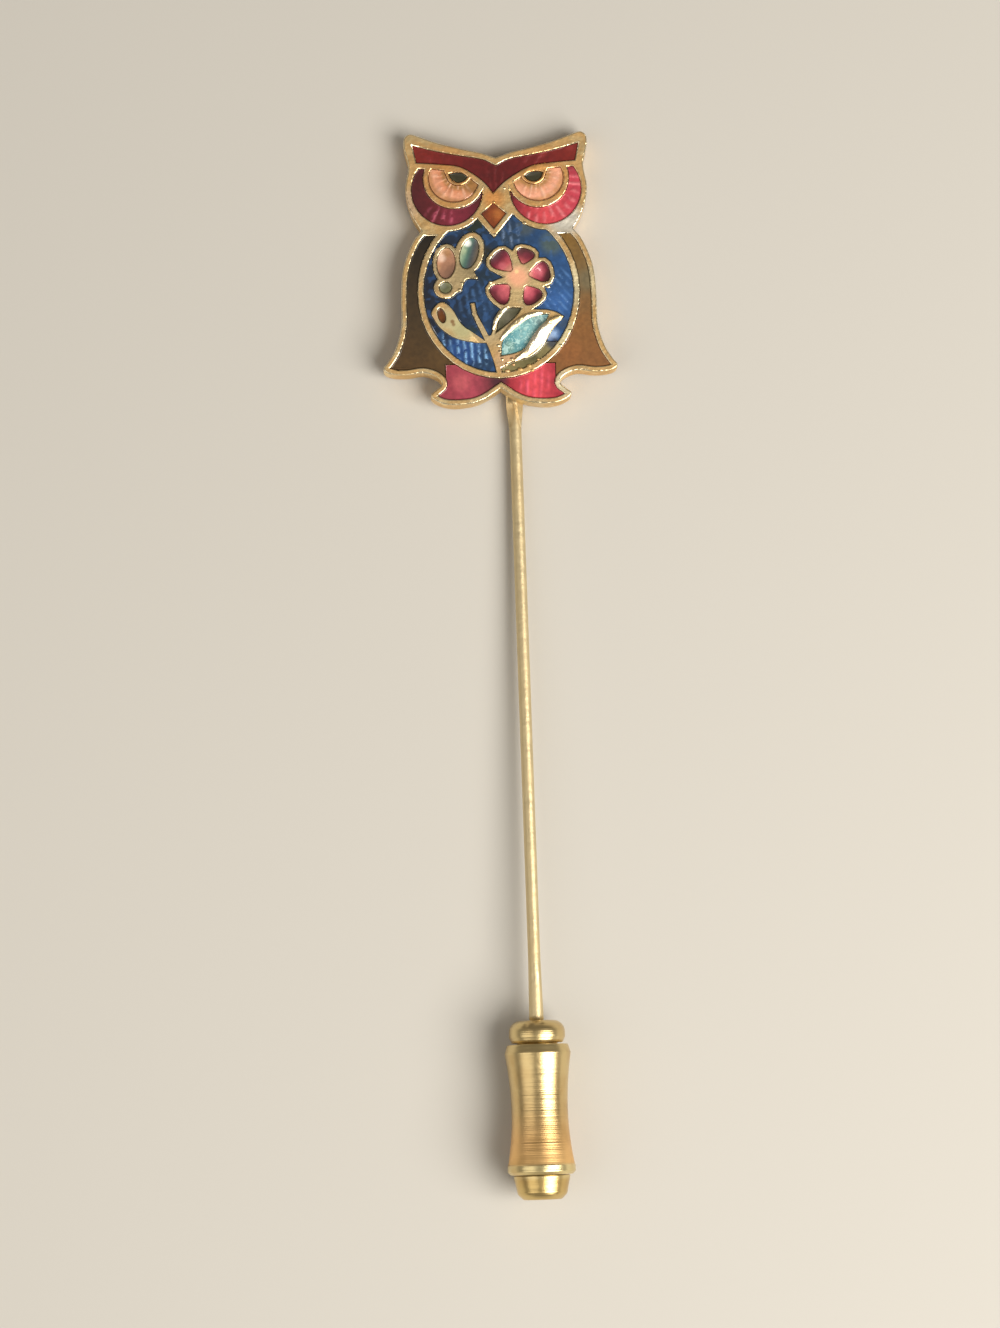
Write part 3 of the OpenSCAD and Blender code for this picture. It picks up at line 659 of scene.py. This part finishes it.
leafShade = {"slot": "enamel_olive", "centre": (1.9, 2.9), "out": (0, 1.6),
             "tones": [(0.0, "#6e6640"), (1.0, "#94885a")],
             # its grey-blue patch at the top end is painted shade along the gap to the blue
             "patches": [(3.45, 4.05, 0.6, "#464c54", 0.95), (2.2, 3.1, 0.4, "#4c4a2c", 0.6)]}
makeEnamel("leaf_shade", leafShade)
print("belly enamel")

wingLeft = {
    "slot": "enamel_brown_dark", "centre": (-5.6, 6.5), "turn": 90, "along": (-4.5, 5), "swing": 0.2,
    "tones": [(0.0, "#583f1e"), (0.4, "#44341e"), (0.75, "#322616"), (1.0, "#1a140a")],
    "patches": [(-4.0, 3.2, 1.0, "#644a26", 0.5)],
}
makeEnamel("wing_left", wingLeft)

wingRight = {
    "slot": "enamel_brown_light", "centre": (5.6, 6.5), "turn": 90, "along": (-4.5, 5), "swing": 0.2,
    "tones": [(0.0, "#8e5e34"), (0.35, "#8e6032"), (0.65, "#7e6642"), (1.0, "#86642c")],
    "patches": [(6.0, 8.3, 1.1, "#787258", 0.6), (4.6, 3.4, 1.2, "#9e6436", 0.5)],
}
makeEnamel("wing_right", wingRight)

feet = {
    "slot": "enamel_raspberry", "centre": (0, 1.3), "along": (-3.8, 3.8), "swing": 0.12,
    "tones": [(0.0, "#9c3c4a"), (0.25, "#b4485a"), (0.47, "#4c2428"), (0.56, "#a42c3a"), (0.8, "#ee5460"),
              (1.0, "#b03040")],
    "patches": [(-2.6, 1.5, 0.9, "#cc6068", 0.7), (-0.1, 1.5, 0.8, "#4c2430", 0.8)],
    "ribs": [{"pitch": 0.46, "at": (2.1, 1.3), "turn": -4, "tone": "#f2607a", "share": 0.8, "sharp": 1.6,
              "shake": 0.6, "breakMm": 1.5, "spots": [(2.2, 1.4, 1.4)]}],
}
makeEnamel("feet", feet)
print("wing and foot enamel")


# Small gold grains in the shade under the large leaf: x, y and radius in mm

grains = {
    "places": [(0.45, 2.2, 0.13), (0.85, 2.62, 0.09), (1.3, 2.28, 0.15), (1.9, 2.52, 0.13),
               (2.08, 2.22, 0.12), (2.5, 2.95, 0.08)],
    "depth": 0.05, "shape": (1.25, 0.9, 0.7), "rounds": 3, "smooth": 60,
}
# Lumps on the walls, left by the casting, which catch the light
beads = {
    "places": [(-1.5, 8.55, 0.13), (-2.45, 8.2, 0.1), (-2.6, 7.74, 0.13), (-0.53, 8.2, 0.12),
               (3.3, 7.85, 0.12), (1.82, 12.2, 0.14), (0.54, 14.58, 0.11),
               (1.14, 15.04, 0.09), (-0.18, 13.66, 0.11), (-1.67, 12.6, 0.12), (-0.2, 11.45, 0.12),
               (-0.12, 3.92, 0.14), (-0.05, 3.52, 0.12), (0.1, 2.98, 0.13), (0.38, 2.66, 0.12),
               (0.74, 3.0, 0.14), (1.14, 3.12, 0.17), (4.62, 4.86, 0.12), (4.0, 3.86, 0.13)],
    "depth": 0.03, "shape": (1.1, 0.95, 0.6), "rounds": 3, "smooth": 60,
}


def makeGrains(pieceName, look, material):
    bpy.ops.object.select_all(action="DESELECT")
    height = (owl["plate"] - look["depth"]) * mm
    made = []
    for x, y, radius in look["places"]:
        bpy.ops.mesh.primitive_ico_sphere_add(
            subdivisions=look["rounds"], radius=radius * mm, location=(x * mm, y * mm, height))
        grain = bpy.context.active_object
        bpy.ops.object.mode_set(mode="EDIT")
        bpy.ops.transform.resize(value=look["shape"])
        bpy.ops.object.mode_set(mode="OBJECT")
        made.append(grain)
    for grain in made:
        grain.select_set(True)
    bpy.ops.object.join()
    piece = bpy.context.active_object
    bpy.ops.object.transform_apply()
    piece.name = pieceName
    finishPiece(piece, "pin", material, look["smooth"])


makeGrains("gold_grains", grains, giltFinish)
makeGrains("wall_beads", beads, rubbedFinish)


# Walls round the leaves swell into polished ridges. Each path runs from the top right down, with
# the half width at each point. "flat" is a ridge's height over its width, "lift" its middle's height
# above the plate, and "tip" the degrees that turn its polished side down to the right
ridgeLine = {"order": 3, "rounds": 4, "smooth": 60}
leafRidge = {
    "path": [(4.05, 5.76, 0.16), (3.5, 5.45, 0.32), (3.02, 4.96, 0.43), (2.62, 4.34, 0.5),
             (2.14, 3.77, 0.41), (1.56, 3.24, 0.2), (0.95, 2.9, 0.1)],
    "flat": 0.2, "lift": 0.07, "tip": 18,
}
leafRim = {
    "path": [(2.85, 6.08, 0.1), (2.24, 5.99, 0.16), (1.64, 5.75, 0.19), (1.09, 5.38, 0.2),
             (0.5, 4.83, 0.17), (0.02, 4.28, 0.1)],
    "flat": 0.25, "lift": 0.02, "tip": 16,
}
smallLeafRim = {
    "path": [(0.62, 6.55, 0.07), (0.3, 6.34, 0.13), (-0.04, 5.97, 0.16), (-0.3, 5.5, 0.15),
             (-0.42, 5.0, 0.08)],
    "flat": 0.25, "lift": 0.02, "tip": 16,
}


def tipRidge(piece, look):
    first = Vector(look["path"][0][:2]).to_3d()
    last = Vector(look["path"][-1][:2]).to_3d()
    middle = (first + last) / 2 * mm + Vector((0, 0, owl["plate"] * mm))
    turn = Matrix.Rotation(math.radians(look["tip"]), 4, first - last)
    centred = Matrix.Translation(middle) @ turn @ Matrix.Translation(-middle)
    piece.data.transform(centred)


def makeRidge(pieceName, look):
    bpy.ops.object.select_all(action="DESELECT")
    bpy.ops.curve.primitive_nurbs_path_add()
    piece = bpy.context.active_object
    curve = piece.data
    curve.splines.clear()
    line = curve.splines.new("NURBS")
    line.points.add(len(look["path"]) - 1)
    for point, (x, y, width) in zip(line.points, look["path"]):
        point.co = (x * mm, y * mm, 0, 1)
        point.radius = width
    line.use_endpoint_u = True
    line.order_u = ridgeLine["order"]
    curve.dimensions = "3D"
    curve.bevel_depth = mm
    curve.bevel_resolution = ridgeLine["rounds"]
    curve.use_fill_caps = True
    bpy.ops.object.convert(target="MESH")
    piece = bpy.context.active_object
    piece.name = pieceName
    bpy.ops.object.mode_set(mode="EDIT")
    bpy.ops.mesh.select_all(action="SELECT")
    bpy.ops.transform.resize(value=(1, 1, look["flat"]))
    bpy.ops.transform.translate(value=(0, 0, (owl["plate"] + look["lift"]) * mm))
    bpy.ops.mesh.normals_make_consistent()
    bpy.ops.object.mode_set(mode="OBJECT")
    bpy.ops.object.transform_apply()
    tipRidge(piece, look)
    finishPiece(piece, "pin", rubbedFinish, ridgeLine["smooth"])


makeRidge("leaf_ridge", leafRidge)
makeRidge("leaf_rim", leafRim)
makeRidge("small_leaf_rim", smallLeafRim)


# The solder that holds the wire

solder = {
    "at": (0.93, 3.9), "size": (1.25, 2.3), "height": 0.3, "sides": 48, "smooth": 80,
    "under": -0.9, "narrowing": (0.72, 0.86, 1), "step": 0.3, "dome": 0.06,   # its underside
    "tones": [(0.3, "#a09478"), (0.7, "#cdb88a")], "roughness": 0.45, "lumpMm": 0.6, "lumpLift": 0.1,
}


def solderMetal():
    # Soft solder, flashed over with gold in the plating bath: duller and greyer than the casting
    material, tree = newMaterial("gilt solder")
    place = flatPlace(tree)
    lumps = addNode(tree, "ShaderNodeTexNoise", {"Vector": place, "Scale": 1 / solder["lumpMm"]})
    base = addNode(tree, "ShaderNodeValToRGB", {"Fac": lumps}, tones=solder["tones"])
    relief = addNode(tree, "ShaderNodeBump", {"Height": lumps, "Distance": solder["lumpLift"] * mm})
    shader = addNode(tree, "ShaderNodeBsdfPrincipled", {
        "Base Color": base, "Metallic": 1.0, "Roughness": solder["roughness"], "Normal": relief})
    addNode(tree, "ShaderNodeOutputMaterial", {"Surface": shader})
    return material


def makeSolder():
    bpy.ops.object.select_all(action="DESELECT")
    x, y = solder["at"]
    bpy.ops.mesh.primitive_cylinder_add(
        vertices=solder["sides"], radius=mm, depth=2 * solder["height"] * mm,
        location=(x * mm, y * mm, 0), rotation=(0, 0, wireLean))
    piece = bpy.context.active_object
    piece.name = "solder_pool"
    piece.scale = (*solder["size"], 1)
    bpy.ops.object.transform_apply()
    pickFaces(piece, lambda middle, normal: normal.z < solder["under"])
    editPicked(piece, "FACE",
               (bpy.ops.transform.resize, {"value": solder["narrowing"]}),
               (bpy.ops.mesh.inset, {"thickness": solder["step"] * mm, "depth": 0.0}),
               (bpy.ops.transform.translate, {"value": (0, 0, -solder["dome"] * mm)}))
    finishPiece(piece, "pin", solderMetal(), solder["smooth"])


makeSolder()
print("grains, ridges and solder")


# The clutch

# "sharp" is the bend in degrees from which an edge round the axis is rounded. An edge that runs
# along the axis for more than the "lengthwise" share of its length stays as it is
clutch = {
    "clutch_collar": {"round": 0.05, "sharp": 20, "smooth": 30},
    "clutch_barrel": {"round": 0.035, "sharp": 16, "smooth": 10},
    "clutch_plug": {"round": 0.09, "sharp": 20, "smooth": 30},
}
turning = {"segments": 2, "lengthwise": 0.2}


def makeClutchPart(nodeName, look, material):
    piece = flatCopy(nodeName, "brass_" + nodeName)
    down = Vector((math.sin(wireLean), -math.cos(wireLean), 0))

    def ringEdge(ends, bend):
        run = (ends[1] - ends[0]).normalized()
        return bend > look["sharp"] and abs(run.dot(down)) < turning["lengthwise"]

    pickEdges(piece, ringEdge)
    editPicked(piece, "EDGE", (bpy.ops.mesh.bevel, {
        "offset": look["round"] * mm, "segments": turning["segments"], "profile": 0.5,
        "clamp_overlap": True}))
    finishPiece(piece, "clutch", material, look["smooth"], [nodeName])


clutchBrass = turnedBrass()
for nodeName, look in clutch.items():
    makeClutchPart(nodeName, look, clutchBrass)
print("clutch")


# Floor, light and camera

# Sizes and places of the floor and the lamps are in metres
studio = {
    "floor": "#ccc9c2", "floorSize": 1.2, "floorRoughness": 0.8,
    "world": "#d2cbc0", "worldStrength": 0.33,
}
lamps = {
    "key softbox": {"at": (0.2, -0.125, 0.26), "size": 0.26, "power": 1.65, "tint": "#fffaf2"},
    "fill softbox": {"at": (-0.24, -0.1, 0.26), "size": 0.3, "power": 0.3, "tint": "#fff8ee"},
}


def makeFloor():
    bpy.ops.object.select_all(action="DESELECT")
    bpy.ops.mesh.primitive_plane_add(size=studio["floorSize"])
    floor = bpy.context.active_object
    floor.name = "pale_floor"
    # Plain matte paper: an even ground without shine, which leaves the shadow soft and clear
    material, tree = newMaterial("pale paper")
    shader = addNode(tree, "ShaderNodeBsdfPrincipled", {
        "Base Color": colour(studio["floor"]), "Roughness": studio["floorRoughness"]})
    addNode(tree, "ShaderNodeOutputMaterial", {"Surface": shader})
    floor.data.materials.append(material)


def makeLamp(name, look):
    lamp = bpy.data.lights.new(name, "AREA")
    lamp.shape = "SQUARE"
    lamp.size = look["size"]
    lamp.energy = look["power"]
    lamp.color = colour(look["tint"])[:3]
    holder = bpy.data.objects.new(name, lamp)
    bpy.context.scene.collection.objects.link(holder)
    holder.location = look["at"]
    holder.rotation_euler = (-Vector(look["at"])).to_track_quat("-Z", "Y").to_euler()


def makeWorld():
    world = bpy.data.worlds.new("soft room")
    world.use_nodes = True
    tree = world.node_tree
    tree.nodes.clear()
    glow = addNode(tree, "ShaderNodeBackground", {
        "Color": colour(studio["world"]), "Strength": studio["worldStrength"]})
    addNode(tree, "ShaderNodeOutputWorld", {"Surface": glow})
    bpy.context.scene.world = world


# Distances in mm, except clipStart, and angles in degrees
photo = {
    "distance": 250, "lookAt": (-0.46, -0.14, 0.0), "leanDown": 5.0, "leanSide": -1.2, "roll": -1.35,
    "lens": 68.17, "sensor": 24, "clipStart": 0.01,
}


def makeCamera():
    lens = bpy.data.cameras.new("photo camera")
    lens.lens = photo["lens"]
    lens.sensor_fit = "VERTICAL"
    lens.sensor_height = photo["sensor"]
    lens.clip_start = photo["clipStart"]
    holder = bpy.data.objects.new("photo camera", lens)
    bpy.context.scene.collection.objects.link(holder)
    down = math.radians(photo["leanDown"])
    side = math.radians(photo["leanSide"])
    roll = math.radians(photo["roll"])
    back = Vector((math.sin(side), -math.sin(down) * math.cos(side), math.cos(down) * math.cos(side)))
    right = Vector((0, 1, 0)).cross(back).normalized()
    up = back.cross(right)
    turned = math.cos(roll) * right + math.sin(roll) * up
    raised = back.cross(turned)
    axes = Matrix((turned, raised, back)).transposed().to_4x4()
    target = Vector(photo["lookAt"]) * mm
    holder.matrix_world = Matrix.Translation(target + back * photo["distance"] * mm) @ axes
    bpy.context.scene.camera = holder


makeFloor()
for lampName, lampLook in lamps.items():
    makeLamp(lampName, lampLook)
makeWorld()
makeCamera()
bpy.context.scene.view_settings.view_transform = "Standard"
print("floor, lamps and camera")
